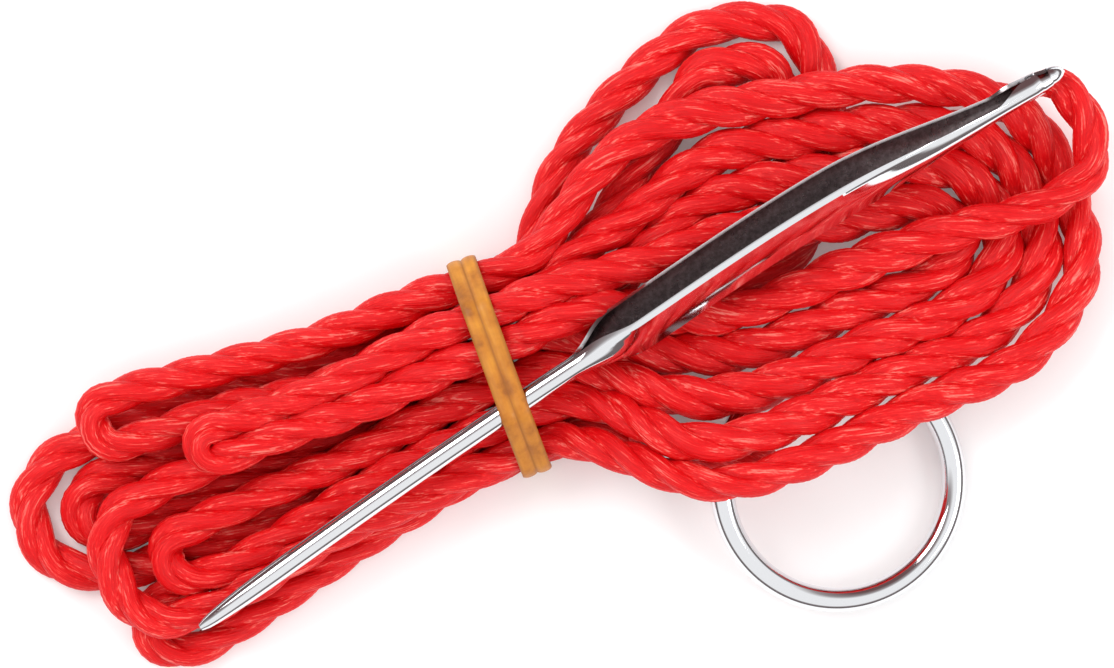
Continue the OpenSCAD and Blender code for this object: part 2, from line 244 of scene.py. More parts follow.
def smooth(points):
    """A curve through all the points, with evenly spaced places along it."""
    p = np.array(points, float)
    p = np.vstack([2 * p[0] - p[1], p, 2 * p[-1] - p[-2]])
    t = np.concatenate([[0], np.cumsum(np.sqrt(np.linalg.norm(np.diff(p, axis=0), axis=1)))])
    out = []
    for i in range(1, len(p) - 2):
        t0, t1, t2, t3 = t[i - 1:i + 3]
        n = max(4, int(np.linalg.norm(p[i + 1] - p[i]) / FINE_STEP))
        for u in np.linspace(t1, t2, n, endpoint=False):
            a1 = (t1 - u) / (t1 - t0) * p[i - 1] + (u - t0) / (t1 - t0) * p[i]
            a2 = (t2 - u) / (t2 - t1) * p[i] + (u - t1) / (t2 - t1) * p[i + 1]
            a3 = (t3 - u) / (t3 - t2) * p[i + 1] + (u - t2) / (t3 - t2) * p[i + 2]
            b1 = (t2 - u) / (t2 - t0) * a1 + (u - t0) / (t2 - t0) * a2
            b2 = (t3 - u) / (t3 - t1) * a2 + (u - t1) / (t3 - t1) * a3
            out.append((t2 - u) / (t2 - t1) * b1 + (u - t1) / (t2 - t1) * b2)
    out.append(p[-2])
    q = np.array(out)
    s = np.concatenate([[0], np.cumsum(np.linalg.norm(np.diff(q, axis=0), axis=1))])
    at = np.linspace(0, s[-1], int(round(s[-1] / STEP)) + 1)
    return np.stack([np.interp(at, s, q[:, k]) for k in range(3)], axis=1)


# ---------------------------------------------------------------- camera, straight above
PX_PER_MM, CAMERA_TURN, LOOK_AT = 8.19, math.radians(-20), (8, 1.3, 6.0)
SENSOR, LENS = 36, 180


def linked(name, data):
    """A new object, put in the scene."""
    obj = bpy.data.objects.new(name, data)
    bpy.context.scene.collection.objects.link(obj)
    return obj


def make_camera():
    cam = linked("camera", bpy.data.cameras.new("camera"))
    cam.data.sensor_width, cam.data.lens = SENSOR, LENS
    cam.data.clip_start, cam.data.clip_end = 0.01, 10
    far = PHOTO_W / PX_PER_MM * MM * LENS / SENSOR
    x, y, z = placed(LOOK_AT)
    cam.location = (x, y, z + far)
    cam.rotation_euler = (0, 0, CAMERA_TURN)
    bpy.context.scene.camera = cam


make_camera()


# ---------------------------------------------------------------- shader maths
class Sock:
    """A node socket that can be added, multiplied and so on."""
    tree = None

    def __init__(self, socket):
        self.socket = socket

    def _math(self, operation, *values):
        return node("ShaderNodeMath", {"operation": operation}, *values)

    def __add__(self, other): return self._math("ADD", self, other)
    def __radd__(self, other): return self._math("ADD", other, self)
    def __sub__(self, other): return self._math("SUBTRACT", self, other)
    def __rsub__(self, other): return self._math("SUBTRACT", other, self)
    def __mul__(self, other): return self._math("MULTIPLY", self, other)
    def __rmul__(self, other): return self._math("MULTIPLY", other, self)
    def __truediv__(self, other): return self._math("DIVIDE", self, other)
    def __pow__(self, other): return self._math("POWER", self, other)


def node(kind, settings=None, *values, out=0, **named):
    """Adds one node to the open tree: its settings first, then its inputs by place or by name."""
    n = Sock.tree.nodes.new(kind)
    for key, value in (settings or {}).items():
        if key == "stops":
            ramp = n.color_ramp
            while len(ramp.elements) < len(value):
                ramp.elements.new(1)
            for element, (place, colour) in zip(ramp.elements, value):
                element.position, element.color = place, (*colour, 1)
        else:
            setattr(n, key, value)
    pairs = [(n.inputs[i], v) for i, v in enumerate(values)] + [(n.inputs[k], v) for k, v in named.items()]
    for socket, value in pairs:
        if isinstance(value, Sock):
            Sock.tree.links.new(value.socket, socket)
        elif value is not None:
            socket.default_value = value
    return Sock(n.outputs[out])


def mix(a, b, share, kind="MIX"):
    """Colour a with so much of colour b over it."""
    n = Sock.tree.nodes.new("ShaderNodeMix")
    n.data_type, n.blend_type = "RGBA", kind
    for name, value in ((0, share), (6, a), (7, b)):
        if isinstance(value, Sock):
            Sock.tree.links.new(value.socket, n.inputs[name])
        else:
            n.inputs[name].default_value = (*value, 1) if isinstance(value, tuple) else value
    return Sock(n.outputs[2])


def linear(*rgb):
    """A colour as a picture has it, 0 to 255, as the shaders want it."""
    return tuple((c / 255 / 12.92) if c <= 10 else ((c / 255 + 0.055) / 1.055) ** 2.4 for c in rgb)


def material(name, build, **fixed):
    """A material whose fixed values are set on the shader itself and whose others come from build's nodes."""
    m = bpy.data.materials.new(name)
    m.use_nodes = True
    Sock.tree = m.node_tree
    shader = m.node_tree.nodes["Principled BSDF"]
    for key, value in fixed.items():
        shader.inputs[key.replace("_", " ")].default_value = value
    for key, value in build().items():
        m.node_tree.links.new(value.socket, shader.inputs[key])
    return m


# Attributes of the meshes: a place in the piece's own stuff, and how far a place lies inside the needle, where its
# colour is darkened with painted shade
FIBRE, INSIDE = "fibre", "inside"


def attribute(name, out):
    return node("ShaderNodeAttribute", {"attribute_type": "GEOMETRY", "attribute_name": name}, out=out)


def noise(at, scale, detail, roughness=0.5):
    return node("ShaderNodeTexNoise", None, Vector=at, Scale=scale, Detail=detail, Roughness=roughness)


def stretched(at, along):
    return node("ShaderNodeVectorMath", {"operation": "MULTIPLY"}, at, (1.0, 1.0, along))


def ramp(share, *stops):
    return node("ShaderNodeValToRGB", {"stops": stops}, share)


def bumped(height, strength, distance):
    return node("ShaderNodeBump", None, Strength=strength, Distance=distance, Height=height)


def object_place():
    return node("ShaderNodeTexCoord", None, out=3)


def cord_look():
    at = attribute(FIBRE, 1)
    fine = stretched(at, 0.05)
    fibres_and_highlight = noise(fine, 4600.0, 2.0, 0.6) * 0.6 + noise(fine, 1500.0, 1.0) * 0.4
    # The ramp's two upper colours, light pink to pink-white, are painted highlights along the fibres; its lower ones
    # are the cord's own red
    colour = ramp(fibres_and_highlight, (0.36, linear(206, 0, 6)), (0.5, linear(226, 4, 12)),
                  (0.57, linear(240, 44, 42)), (0.66, linear(255, 140, 126)))
    colour = mix(colour, linear(218, 0, 12), noise(at, 90.0, 1.0) * 0.5)
    return {"Base Color": colour, "Roughness": 0.3 + 0.3 * fibres_and_highlight, "Normal": bumped(fibres_and_highlight, 0.9, 0.00035)}


CORD = material("red_polypropylene", cord_look, Specular_IOR_Level=0.28,
                Subsurface_Weight=0.3, Subsurface_Scale=0.0015, Subsurface_Radius=(1.0, 0.1, 0.08))


def plated_look():
    at, inner = object_place(), attribute(INSIDE, 2)
    # Inside the needle the colour turns to a mottled dark grey: painted shade in the trough
    painted_trough_shade = mix(linear(96, 84, 86), linear(206, 196, 196), noise(at, 1500.0, 4.0, 0.7) ** 2.0)
    return {"Base Color": mix(linear(232, 233, 236), painted_trough_shade, inner),
            "Roughness": 0.05 + 0.06 * noise(at, 700.0, 3.0) + 0.2 * inner}


PLATED = material("bright_plated_steel", plated_look, Metallic=1.0)


def crimp_look():
    marks = noise(object_place(), 900.0, 4.0)
    return {"Roughness": 0.3 + 0.2 * marks, "Normal": bumped(marks, 0.3, 0.00005)}


CRIMP = material("dull_crimp_steel", crimp_look, Base_Color=(*linear(190, 191, 194), 1), Metallic=1.0)


def rubber_look():
    at, place = object_place(), attribute(FIBRE, 1)
    grain, streaks = noise(at, 2500.0, 2.0), noise(stretched(place, 0.12), 1400.0, 2.0)
    colour = ramp(noise(at, 420.0, 4.0), (0.32, linear(160, 90, 14)), (0.46, linear(198, 120, 22)),
                  (0.7, linear(222, 146, 38)))
    across = node("ShaderNodeMath", {"operation": "ABSOLUTE"}, node("ShaderNodeSeparateXYZ", None, place, out=0))
    # Darker at the groove between the two turns and at the band's edges: painted shade where the turns curve away
    groove_and_edge_shade = ramp(across / (BAND_W / 2 * MM), *((at_share, (grey,) * 3) for at_share, grey in (
        (0.0, 0.75), (0.1, 0.25), (0.25, 0.0), (0.78, 0.0), (1.0, 0.8))))
    colour = mix(colour, linear(150, 84, 12), groove_and_edge_shade)
    colour = mix(colour, linear(160, 92, 16), 0.9 * streaks ** 2.0)
    return {"Base Color": colour, "Roughness": 0.35 + 0.2 * grain,
            "Normal": bumped(grain * 0.4 + streaks, 0.5, 0.00015)}


RUBBER = material("amber_rubber", rubber_look, Subsurface_Weight=0.08, Subsurface_Scale=0.0006,
                  Subsurface_Radius=(1.0, 0.5, 0.2))


# ---------------------------------------------------------------- swept pieces: one tree of nodes for all of them
def sweep_tree():
    tree = bpy.data.node_groups.new("sweep", "GeometryNodeTree")
    io = tree.interface
    io.new_socket("Geometry", in_out="INPUT", socket_type="NodeSocketGeometry")
    io.new_socket("Profile", in_out="INPUT", socket_type="NodeSocketObject")
    io.new_socket("Lay", in_out="INPUT", socket_type="NodeSocketFloat").default_value = 0.02
    io.new_socket("Fibre turn", in_out="INPUT", socket_type="NodeSocketFloat")
    io.new_socket("Fill ends", in_out="INPUT", socket_type="NodeSocketBool")
    io.new_socket("Material", in_out="INPUT", socket_type="NodeSocketMaterial")
    io.new_socket("Geometry", in_out="OUTPUT", socket_type="NodeSocketGeometry")

    def add(kind, settings=None, **links):
        n = tree.nodes.new(kind)
        for key, value in (settings or {}).items():
            setattr(n, key, value)
        for key, value in links.items():
            socket = n.inputs[int(key[1:])] if key[0] == "i" and key[1:].isdigit() else n.inputs[key]
            if isinstance(value, bpy.types.NodeSocket):
                tree.links.new(value, socket)
            else:
                socket.default_value = value
        return n

    def maths(operation, a, b=0.0):
        return add("ShaderNodeMath", {"operation": operation}, i0=a, i1=b).outputs[0]

    given = tree.nodes.new("NodeGroupInput").outputs
    length = add("GeometryNodeSplineParameter").outputs["Length"]
    turn = maths("MULTIPLY", maths("DIVIDE", length, given["Lay"]), 2 * math.pi)
    tilted = add("GeometryNodeSetCurveTilt", i0=given["Geometry"], i2=turn).outputs[0]
    keep_turn = add("GeometryNodeCaptureAttribute", {"domain": "POINT"})
    keep_turn.capture_items.new("FLOAT", "turn")
    keep_turn.capture_items.new("FLOAT", "length")
    tree.links.new(tilted, keep_turn.inputs[0])
    tree.links.new(turn, keep_turn.inputs[1])
    tree.links.new(length, keep_turn.inputs[2])
    profile = add("GeometryNodeObjectInfo", i0=given["Profile"]).outputs["Geometry"]
    keep_place = add("GeometryNodeCaptureAttribute", {"domain": "POINT"})
    keep_place.capture_items.new("VECTOR", "place")
    tree.links.new(profile, keep_place.inputs[0])
    tree.links.new(add("GeometryNodeInputPosition").outputs[0], keep_place.inputs[1])
    solid = add("GeometryNodeCurveToMesh", i0=keep_turn.outputs[0], i1=keep_place.outputs[0])
    tree.links.new(given["Fill ends"], solid.inputs["Fill Caps"])
    split = add("ShaderNodeSeparateXYZ", i0=keep_place.outputs[1]).outputs
    back = maths("MULTIPLY", keep_turn.outputs[1], given["Fibre turn"])
    cos, sin = maths("COSINE", back), maths("SINE", back)
    x = maths("SUBTRACT", maths("MULTIPLY", split[0], cos), maths("MULTIPLY", split[1], sin))
    y = maths("ADD", maths("MULTIPLY", split[0], sin), maths("MULTIPLY", split[1], cos))
    place = add("ShaderNodeCombineXYZ", i0=x, i1=y, i2=keep_turn.outputs[2]).outputs[0]
    stored = add("GeometryNodeStoreNamedAttribute", {"data_type": "FLOAT_VECTOR", "domain": "POINT"},
                 i0=solid.outputs[0], Name=FIBRE)
    tree.links.new(place, stored.inputs["Value"])
    real = add("GeometryNodeRealizeInstances", i0=stored.outputs[0]).outputs[0]
    painted = add("GeometryNodeSetMaterial", i0=real, i2=given["Material"]).outputs[0]
    tree.links.new(painted, tree.nodes.new("NodeGroupOutput").inputs[0])
    return tree


SWEEP = sweep_tree()
UNTWISTED, SHARP = 1e9, 50


def curve_object(name, points, closed=False):
    data = bpy.data.curves.new(name, "CURVE")
    data.dimensions = "3D"
    spline = data.splines.new("POLY")
    spline.points.add(len(points) - 1)
    spline.points.foreach_set("co", np.column_stack([points, np.ones(len(points))]).astype(np.float32).ravel())
    spline.use_cyclic_u = closed
    return linked(name, data)


def shaded(name, mesh, sharp=SHARP):
    """A smoothly shaded piece, with an edge where its faces turn more than so many degrees."""
    mesh.shade_smooth()
    mesh.set_sharp_from_angle(angle=math.radians(sharp))
    return linked(name, mesh)


def swept(name, points, profile, look, lay=UNTWISTED, fibre_turn=0.0, closed=False, sharp=SHARP):
    """Sweeps a closed outline, in metres, along a line of places in metres, turning once per lay."""
    line = curve_object(name + "_line", points, closed)
    shape = curve_object(name + "_outline", profile, True)
    mod = line.modifiers.new("sweep", "NODES")
    mod.node_group = SWEEP
    values = {"Profile": shape, "Lay": lay, "Fibre turn": fibre_turn, "Fill ends": not closed, "Material": look}
    for item in SWEEP.interface.items_tree:
        if item.in_out == "INPUT" and item.name in values:
            mod[item.identifier] = values[item.name]
    bpy.context.view_layer.update()
    mesh = bpy.data.meshes.new_from_object(line.evaluated_get(bpy.context.evaluated_depsgraph_get()))
    mesh.name = name
    for extra in (line, shape):
        data = extra.data
        bpy.data.objects.remove(extra)
        bpy.data.curves.remove(data)
    return shaded(name, mesh, sharp)


# ---------------------------------------------------------------- the cord: three strands laid round one another
ROPE_D = 4.8
STRAND_R = 1.42
STRAND_OFF = ROPE_D / 2 - STRAND_R
LAY = 18.5
FIBRE_TURN = 0.6
SIDES_PER_STRAND = 11
INTO_GROOVE = 0.93


def strand_outline():
    """The outline of three strands side by side, flat, in metres."""
    out = []
    corner = math.pi / 3
    for k in range(3):
        for a in np.concatenate([[-corner], np.linspace(-corner, corner, SIDES_PER_STRAND - 1) * INTO_GROOVE]):
            r = STRAND_OFF * math.cos(a) + math.sqrt(STRAND_R ** 2 - (STRAND_OFF * math.sin(a)) ** 2)
            f = a + k * 2 * math.pi / 3
            out.append((r * math.cos(f) * MM, r * math.sin(f) * MM, 0))
    return out


def length_of(path):
    return float(np.linalg.norm(np.diff(path, axis=0), axis=1).sum())


# How the soft cords settle, in millimetres. Nearer than STACKED they lie on each other, and beyond LONE there is no
# neighbour. A neighbour is at most BESIDE further along, nearly PARALLEL, and not one of the cord's own next places.
STACKED, LONE, FAR_OFF = 1.6, 8.5, 99.0
BESIDE, PARALLEL, OWN_PLACES = 1.2, 0.82, 8
SETTLE_ROUNDS, SETTLE_SHARE, SETTLE_MOST = 16, 0.3, 1.9
PUSH_BLUR, SHIFT_BLUR, FREE_BLUR = 9, 7, 4
# How wide a cord lies: wider than its room by PRESSED, as a share of its own width, between these
PRESSED, NARROWEST, WIDEST, WIDEST_AT_EDGE = 0.6, 0.94, 1.24, 1.04
# Where it settles less: near the waist, near its ends (counted in places) and high up on the ring's side
WAIST_HELD, START_HELD, END_HELD, HIGH_HELD, RING_SIDE = (6, 12), (30, 60), (36, 30), (10, 2.5), -6


def rising(values, start, run):
    """0 up to start, 1 from start + run on, and straight in between."""
    return np.clip((values - start) / run, 0, 1)


def blurred(values, reach):
    """A running mean along the cord, over so many places to either side."""
    kernel = np.hanning(2 * reach + 3)[1:-1]
    padded = np.pad(values, reach, mode="edge")
    return np.convolve(padded, kernel / kernel.sum(), mode="valid")


def neighbours(flat):
    """How far away the next cord lies to the left and to the right of each place, seen from above."""
    t = np.gradient(flat, axis=0)
    t /= np.linalg.norm(t, axis=1)[:, None]
    across_way = np.column_stack([-t[:, 1], t[:, 0]])
    rel = flat[None] - flat[:, None]
    along = np.einsum("ijk,ik->ij", rel, t)
    across = np.einsum("ijk,ik->ij", rel, across_way)
    index = np.arange(len(flat))
    beside = (np.abs(along) < BESIDE) & (np.abs(t @ t.T) > PARALLEL)
    beside &= np.abs(index[:, None] - index[None]) > OWN_PLACES
    left = np.where(beside & (across > STACKED), across, FAR_OFF).min(axis=1)
    right = np.where(beside & (across < -STACKED), -across, FAR_OFF).min(axis=1)
    return across_way, left, right


def free_to_settle(line):
    place = np.arange(len(line))
    free = rising(np.abs(line[:, 0]), *WAIST_HELD)
    free *= rising(place, *START_HELD) * rising(len(line) - place, *END_HELD)
    free *= np.where(line[:, 1] < RING_SIDE, 1 - rising(line[:, 2], *HIGH_HELD), 1)
    return blurred(free, FREE_BLUR)


def huddle(line):
    """Lets the soft cords settle midway between their neighbours, and says how wide each lies there."""
    rough = line[::2]
    start, free = rough[:, :2], free_to_settle(rough)[:, None]
    flat = start.copy()
    for _ in range(SETTLE_ROUNDS):
        way, left, right = neighbours(flat)
        push = np.where((left < LONE) & (right < LONE), (left - right) * SETTLE_SHARE, 0)
        moved = flat + blurred(push, PUSH_BLUR)[:, None] * way * free - start
        far = np.maximum(np.linalg.norm(moved, axis=1), 1e-6)
        flat = start + moved * np.minimum(1, SETTLE_MOST / far)[:, None]
    shift = np.column_stack([blurred((flat - start)[:, k], SHIFT_BLUR) for k in range(2)])
    _, left, right = neighbours(start + shift)
    room = np.where(left < LONE, left, 0) + np.where(right < LONE, right, 0)
    sides = (left < LONE).astype(int) + (right < LONE)
    wide = (room / np.maximum(sides, 1) + PRESSED) / ROPE_D
    wide = blurred(np.clip(wide, NARROWEST, np.where(sides == 2, WIDEST, WIDEST_AT_EDGE)), SHIFT_BLUR)
    at, every = np.arange(len(line)) / 2, np.arange(len(rough))
    x, y, wide = (np.interp(at, every, values) for values in (shift[:, 0], shift[:, 1], wide))
    return line + np.column_stack([x, y, np.zeros(len(line))]), wide


# How much the band and the crimp press the cord in, over which reach and run, and how its free end tapers
BAND_PRESS, BAND_REACH, WAIST_HALF = 0.1, (1.5, 3), 13
CRIMP_PRESS, CRIMP_RUN, CRIMP_SIDE = 0.22, 1.5, 1.5
TIP, TIP_REACH = 0.4, (1.5, 5)


def squeeze(path):
    """How thick the cord is at each place: the band and the crimp press it in, and its free end tapers."""
    near_band = 1 - rising(np.abs(path[:, 0]), *BAND_REACH)
    thick = 1 - BAND_PRESS * near_band * (np.abs(path[:, 1]) < WAIST_HALF)
    from_end = np.arange(len(path))[::-1] * STEP
    thick *= TIP + (1 - TIP) * rising(from_end, *TIP_REACH)
    dx, dy, aim = path[:, 0] - EYE_X, path[:, 1] - EYE_Y, EYE_AIM
    along, off = dx * math.cos(aim) + dy * math.sin(aim), dy * math.cos(aim) - dx * math.sin(aim)
    in_crimp = 1 - rising(np.abs(along - (CRIMP_START + CRIMP_END) / 2), CRIMP_L / 2, CRIMP_RUN)
    return thick - CRIMP_PRESS * in_crimp * ((np.abs(off) < CRIMP_SIDE) & (path[:, 2] < TAIL_Z + CRIMP_SIDE))


APART = 0.05
CORD_SIDES = 3 * SIDES_PER_STRAND


def cord_pieces(parts):
    """One long cord, swept in one go so that its strands run on, and then cut where the bodies meet."""
    whole, cuts = [], []
    for part in parts:
        whole += [p for p in part if not whole or np.linalg.norm(np.subtract(p, whole[-1])) > APART]
        cuts.append(whole[-1])
    line, wide = huddle(smooth(whole))
    full = swept("cord", placed(line), strand_outline(), CORD, lay=LAY * MM, fibre_turn=FIBRE_TURN)
    spots = np.empty(len(full.data.vertices) * 3, np.float32)
    full.data.vertices.foreach_get("co", spots)
    fibre = np.empty_like(spots)
    full.data.attributes[FIBRE].data.foreach_get("vector", fibre)
    spots, fibre = spots.reshape(-1, CORD_SIDES, 3), fibre.reshape(-1, CORD_SIDES, 3)
    middle = placed(line)[:, None, :]
    flat = np.column_stack([wide, wide, wide ** -0.5])
    spots = middle + (spots - middle) * squeeze(line)[:, None, None] * flat[:, None, :]
    spots[:, :, 2] = np.maximum(spots[:, :, 2], 0)
    bpy.data.objects.remove(full)
    start, out = 0, []
    for end_place in cuts:
        end = start + int(np.argmin(np.linalg.norm(line[start:] - np.array(end_place), axis=1)))
        out.append((line[start:end + 1], spots[start:end + 1], fibre[start:end + 1]))
        start = end
    return out


def cord_mesh(name, spots, fibre):
    """A closed tube through the rings of spots, with the fibres' places kept as an attribute."""
    rings, n = len(spots), CORD_SIDES
    a = (np.arange(rings - 1)[:, None] * n + np.arange(n)[None, :]).ravel()
    b = (np.arange(rings - 1)[:, None] * n + (np.arange(n)[None, :] + 1) % n).ravel()
    quads = np.stack([a, b, b + n, a + n], axis=1)
    loops = np.concatenate([quads.ravel(), np.arange(n)[::-1], (rings - 1) * n + np.arange(n)])
    starts = np.concatenate([np.arange(len(quads)) * 4, [len(quads) * 4, len(quads) * 4 + n]])
    mesh = bpy.data.meshes.new(name)
    mesh.vertices.add(rings * n)
    mesh.vertices.foreach_set("co", spots.astype(np.float32).ravel())
    mesh.loops.add(len(loops))
    mesh.loops.foreach_set("vertex_index", loops.astype(np.int32))
    mesh.polygons.add(len(starts))
    mesh.polygons.foreach_set("loop_start", starts.astype(np.int32))
    mesh.update(calc_edges=True)
    mesh.attributes.new(FIBRE, "FLOAT_VECTOR", "POINT").data.foreach_set("vector", fibre.astype(np.float32).ravel())
    mesh.materials.append(CORD)
    return shaded(name, mesh)


CORD_NODES = [("ring_eye", "ring_end"), ("ring_lead", "hank"), ("cord_hank", "hank"), ("needle_lead", "hank")]
BENDS = {"ring_lead": ("ring_end", "hank"), "needle_lead": ("hank", "needle")}
SHORTEST_CORD = 0.03
for (cad_node, body), (line, spots, fibre) in zip(CORD_NODES, cord_pieces([EYE, RING_LEAD, HANK, NEEDLE_LEAD])):
    piece = cord_mesh(cad_node + "_rope", spots, fibre)
    path = placed(line)
    if cad_node in BENDS:
        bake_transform(piece)
    else:
        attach(piece, body)
    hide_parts(cad_node)
    if length_of(path) > SHORTEST_CORD:
        "coiled" if cad_node == "cord_hank" else "taut"


# ---------------------------------------------------------------- ring
def circle(r, n):
    return [(r * math.cos(a) * MM, r * math.sin(a) * MM, 0) for a in (2 * math.pi * i / n for i in range(n))]


def ring_line(n=240):
    """The middle of the ring's wire: the ring leans up on the cord's eye."""
    ct, st, cz, sz = math.cos(RING_TILT), math.sin(RING_TILT), math.cos(EYE_TURN), math.sin(EYE_TURN)
    out = []
    for a in (2 * math.pi * i / n for i in range(n)):
        x, y = RING_R * math.cos(a), RING_R * math.sin(a)
        out.append((RING_AT[0] + x * ct * cz - y * sz, RING_AT[1] + x * ct * sz + y * cz, RING_Z + x * st))
    return placed(out)


ring = swept("steel_ring", ring_line(), circle(WIRE_R, 40), PLATED, closed=True)
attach(ring, "ring")
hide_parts("ring")


# ---------------------------------------------------------------- needle: sheet rolled into a pin, a trough and a nose
PIN_R, TROUGH_R, NOSE_R = PIN_D / 2, TROUGH_D / 2, NOSE_D / 2
NECK, SHOULDER, CLOSE, HOLE = (0.44, 0.52), (0.74, 0.97), (0.92, 0.965), (0.973, 0.984)
POINT, POINT_BLUNT, END, END_BLUNT, TAPER = 0.1, 0.35, 0.012, 0.12, 0.6
# Half the open angle, in degrees, of the pin, the trough, the nose and its hole; the wall as a share of the radius
OPEN_PIN, OPEN_TROUGH, OPEN_NOSE, OPEN_HOLE, WALL_SHARE = 9, 76, 12, 48, 0.55
# The near wall is flat between two angles and goes on further up, and the far rim is bent outward near its edge
WALL_FROM, WALL_TO, WALL_FLAT = math.radians(-20), math.radians(84), 0.92
NEEDLE_SHARP = 40
# FAR_RIM_SHADE: how much of the inside's painted shade darkens the far rim's outer edge
WALL_MORE, FLARE, FLARE_FROM, FLARE_OVER, MORE_BOW, FAR_RIM_SHADE = 22, 1.1, 270, 44, 0.8, 0.3


def between(a, b, edges, t):
    return a + (b - a) * ease(max(0, min(1, (t - edges[0]) / (edges[1] - edges[0]))))


def needle_radius(t):
    """The outer radius, t of the way from the point to the nose."""
    nose = NOSE_R * (1 - (1 - TAPER) * max(0, (t - SHOULDER[1]) / (1 - SHOULDER[1])))
    r = between(PIN_R, TROUGH_R, NECK, t) if t < SHOULDER[0] else between(TROUGH_R, nose, SHOULDER, t)
    if t < POINT:
        r *= POINT_BLUNT + (1 - POINT_BLUNT) * math.sqrt(math.sin(math.pi / 2 * t / POINT))
    if t > 1 - END:
        r *= math.sqrt(max(END_BLUNT, 1 - ((t - 1 + END) / END) ** 2))
    return r


def needle_opening(t):
    if HOLE[0] < t < HOLE[1]:
        return OPEN_HOLE
    return between(OPEN_PIN, OPEN_TROUGH, NECK, t) if t < SHOULDER[0] else between(OPEN_TROUGH, OPEN_NOSE, CLOSE, t)


def needle_axis(t):
    bow = 4 * t * (1 - t)
    more = MORE_BOW * math.sin(math.pi * max(0, (t - NECK[0]) / (1 - NECK[0]))) ** 2
    p = NEEDLE_AT + t * NEEDLE_L * NEEDLE_DIR + (NEEDLE_BOW * bow + more) * NEEDLE_LEFT
    return p + np.array([0, 0, (NEEDLE_END_Z - NEEDLE_AT[2]) * t + NEEDLE_LIFT * bow])


def needle_mesh(steps=36, edge=0.001):
    """Rolled sheet: along each arc and back along its inner side, from the point to the nose."""
    ts = np.unique(np.concatenate([
        np.linspace(0, POINT, 14), np.linspace(POINT, NECK[0], 18), np.linspace(*NECK, 26),
        np.linspace(NECK[1], SHOULDER[0], 24), np.linspace(SHOULDER[0], CLOSE[0], 20), np.linspace(*CLOSE, 18),
        [HOLE[0] - edge, HOLE[0] + edge, HOLE[1] - edge, HOLE[1] + edge], np.linspace(1 - END, 1, 10)]))
    points, faces = [], []
    up_z = np.array([0, 0, 1.0])
    axis = [needle_axis(t) for t in ts]
    for i, t in enumerate(ts):
        along = axis[min(i + 1, len(ts) - 1)] - axis[max(i - 1, 0)]
        along /= np.linalg.norm(along)
        side = np.cross(along, up_z)
        side /= np.linalg.norm(side)
        up = np.cross(side, along)
        r, g = needle_radius(t), needle_opening(t)
        w = min(SHEET_T, WALL_SHARE * r)
        wide = max(0, min(1, (r - PIN_R) / (TROUGH_R - PIN_R)))
        turn_over = 360 - 2 * g + WALL_MORE * wide
        arc = [math.radians(90 + NEEDLE_ROLL + g + turn_over * j / steps) for j in range(steps + 1)]
        flat = WALL_FLAT * wide ** 2
        for a, q in [(a, r) for a in arc] + [(a, r - w) for a in arc[::-1]]:
            turn = a - 2 * math.pi
            if WALL_FROM < turn < WALL_TO:
                chord = math.cos((WALL_TO - WALL_FROM) / 2) / math.cos(turn - (WALL_FROM + WALL_TO) / 2)
                q -= r * flat * (1 - chord)
            out = FLARE * wide * max(0, min(1, (FLARE_FROM - math.degrees(a)) / FLARE_OVER))
            points.append(axis[i] + (q * math.cos(a) - out) * side + q * math.sin(a) * up)
    n = 2 * (steps + 1)
    for i in range(len(ts) - 1):
        for j in range(n):
            a, b = i * n + j, i * n + (j + 1) % n
            faces.append((a, b, b + n, a + n))
    for first, back in ((0, True), ((len(ts) - 1) * n, False)):
        for j in range(steps):
            a, b, c, d = first + j, first + j + 1, first + n - 2 - j, first + n - 1 - j
            faces.append((a, d, c, b) if back else (a, b, c, d))
    mesh = bpy.data.meshes.new("rolled_needle")
    mesh.from_pydata([tuple(p) for p in placed(points)], [], faces)
    mesh.materials.append(PLATED)
    # The inner side gets full painted shade, and the far rim's outer edge gets a little of it
    inner = mesh.attributes.new(INSIDE, "FLOAT", "POINT")
    inner.data.foreach_set("value", [FAR_RIM_SHADE if k % n == 0 else float(k % n > steps + 1) for k in range(len(points))])
    return shaded("rolled_needle", mesh, NEEDLE_SHARP)


needle = needle_mesh()
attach(needle, "needle")
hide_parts("needle")


# ---------------------------------------------------------------- rubber band round the waist
# Each turn's middle and half width as shares of the band's half width, and the groove's and a turn's thickness
TURN_AT, TURN_HALF, GROOVE_T, TURN_T, BAND_SHARP = 0.5, 0.53, 0.1, 1.15, 70


def band_line(n=160):
    """The line that the band follows round the passes and the needle's pin, halfway into its thickness."""
    pin = needle_axis(-NEEDLE_AT[0] / NEEDLE_L)
    holds = [(column_y(c), BAND_GAP + BAND_T + CORD_R, CORD_R) for c in (0, COLUMNS - 1)]
    holds += [(column_y(c), level(k) + WAIST_LIFT, CORD_R) for c, k in ((0, 1), (COLUMNS - 1, 1), (1, 2), (2, 2))]
    holds += [(pin[1], pin[2], PIN_R)]
    grow = BAND_GAP + BAND_T / 2
    dots = np.array([(y + (r + grow) * math.cos(a), z + (r + grow) * math.sin(a))
                     for y, z, r in holds for a in np.linspace(0, 2 * math.pi, 48, endpoint=False)])
    order = dots[np.lexsort((dots[:, 1], dots[:, 0]))]

    def half(rows):
        chain = []
        for p in rows:
            while len(chain) > 1 and np.cross(chain[-1] - chain[-2], p - chain[-2]) <= 0:
                chain.pop()
            chain.append(p)
        return chain[:-1]

    hull = np.array(half(order) + half(order[::-1]))
    hull = np.vstack([hull, hull[:1]])
    s = np.concatenate([[0], np.cumsum(np.linalg.norm(np.diff(hull, axis=0), axis=1))])
    at = np.linspace(0, s[-1], n, endpoint=False)
    return np.stack([np.zeros(n), np.interp(at, s, hull[:, 0]), np.interp(at, s, hull[:, 1])], axis=1)


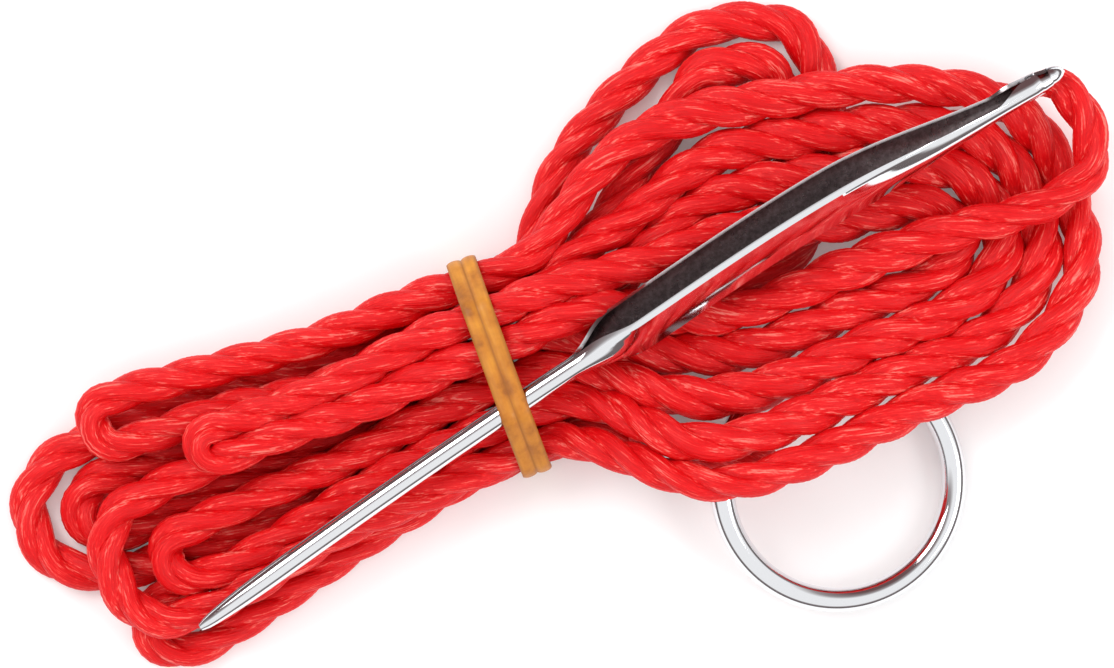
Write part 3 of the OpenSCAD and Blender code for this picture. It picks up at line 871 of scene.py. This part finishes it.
def band_outline():
    """Two rounded turns side by side with a groove between them."""
    out = []
    half_w, half_t = BAND_W / 2, BAND_T / 2
    for side in (1, -1):
        xs = np.sin(np.linspace(-1, 1, 27) * math.pi / 2) * side
        for x in xs:
            turn = math.sqrt(max(0, 1 - ((abs(x) - TURN_AT) / TURN_HALF) ** 2))
            out.append((x * half_w * MM, side * half_t * (GROOVE_T + TURN_T * turn) * MM, 0))
    return out


band = swept("amber_band", placed(band_line()), band_outline(), RUBBER, closed=True, sharp=BAND_SHARP)
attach(band, "band")
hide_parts("rubber_band")

for crimp_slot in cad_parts["ring_crimp"].material_slots:
    crimp_slot.material = CRIMP


# ---------------------------------------------------------------- floor, lamps and sky
FLOOR_HALF, FLOOR_Z, PAPER, PAPER_GLOW = 3.0, -0.0002, 0.9, 0.12
SKY_GREY, DARK_SIDE = 0.95, (-0.12, 0.88, 0.46)
WHITE = (1.0, 1.0, 1.0)


def light_path():
    """Whether a ray is the camera's own, and whether metal mirrored it."""
    path = Sock.tree.nodes.new("ShaderNodeLightPath").outputs
    return Sock(path["Is Camera Ray"]), Sock(path["Is Glossy Ray"])


def stage_floor():
    mesh, h = bpy.data.meshes.new("floor"), FLOOR_HALF
    mesh.from_pydata([(x, y, FLOOR_Z) for x, y in ((-h, -h), (h, -h), (h, h), (-h, h))], [], [(0, 1, 2, 3)])
    m = bpy.data.materials.new("floor_paper")
    m.use_nodes = True
    Sock.tree = m.node_tree
    m.node_tree.nodes.clear()
    seen = node("ShaderNodeMath", {"operation": "MAXIMUM"}, *light_path())
    paper = node("ShaderNodeBsdfDiffuse", None, (PAPER, PAPER, PAPER, 1))
    glow = node("ShaderNodeEmission", None, (*WHITE, 1), seen * PAPER_GLOW)
    both = node("ShaderNodeAddShader", None, paper, glow)
    end = Sock.tree.nodes.new("ShaderNodeOutputMaterial")
    Sock.tree.links.new(both.socket, end.inputs[0])
    mesh.materials.append(m)
    floor = linked("floor", mesh)


stage_floor()


def lamp(name, place, size, power):
    """A square soft box that faces the part."""
    light = bpy.data.lights.new(name, "AREA")
    light.shape, light.size, light.energy = "SQUARE", size, power
    obj = linked(name, light)
    obj.location = place
    obj.rotation_euler = (-Vector(place)).to_track_quat("-Z", "Y").to_euler()


lamp("key_box", (-0.35, 0.55, 0.75), 0.5, 3.6)
lamp("side_box", (0.6, -0.35, 0.6), 0.35, 2.0)


def make_sky():
    """White to the camera, plain grey to the cord, and to metal a white studio with a darker side and horizon."""
    world = bpy.data.worlds.new("sky")
    bpy.context.scene.world = world
    world.use_nodes = True
    Sock.tree = world.node_tree
    world.node_tree.nodes.clear()
    seen_directly, glossy = light_path()
    direction = node("ShaderNodeTexCoord", None, out=0)
    toward = node("ShaderNodeVectorMath", {"operation": "DOT_PRODUCT"}, direction, DARK_SIDE, out=1)
    height = node("ShaderNodeSeparateXYZ", None, direction, out=2)
    side = ramp(toward, (0.0, WHITE), (0.42, WHITE), (0.6, (0.38, 0.34, 0.34)),
                (0.82, (0.16, 0.09, 0.09)), (1.0, (0.16, 0.09, 0.09)))
    horizon = ramp(height, (0.0, (0.16, 0.13, 0.13)), (0.32, (0.2, 0.17, 0.17)), (0.46, WHITE))
    studio = mix(side, horizon, 1.0, "DARKEN")
    colour = mix(mix((SKY_GREY,) * 3, studio, glossy), WHITE, seen_directly)
    sky = node("ShaderNodeBackground", None, colour, 1.0)
    end = Sock.tree.nodes.new("ShaderNodeOutputWorld")
    Sock.tree.links.new(sky.socket, end.inputs[0])


make_sky()

bpy.context.scene.view_settings.view_transform = "Standard"
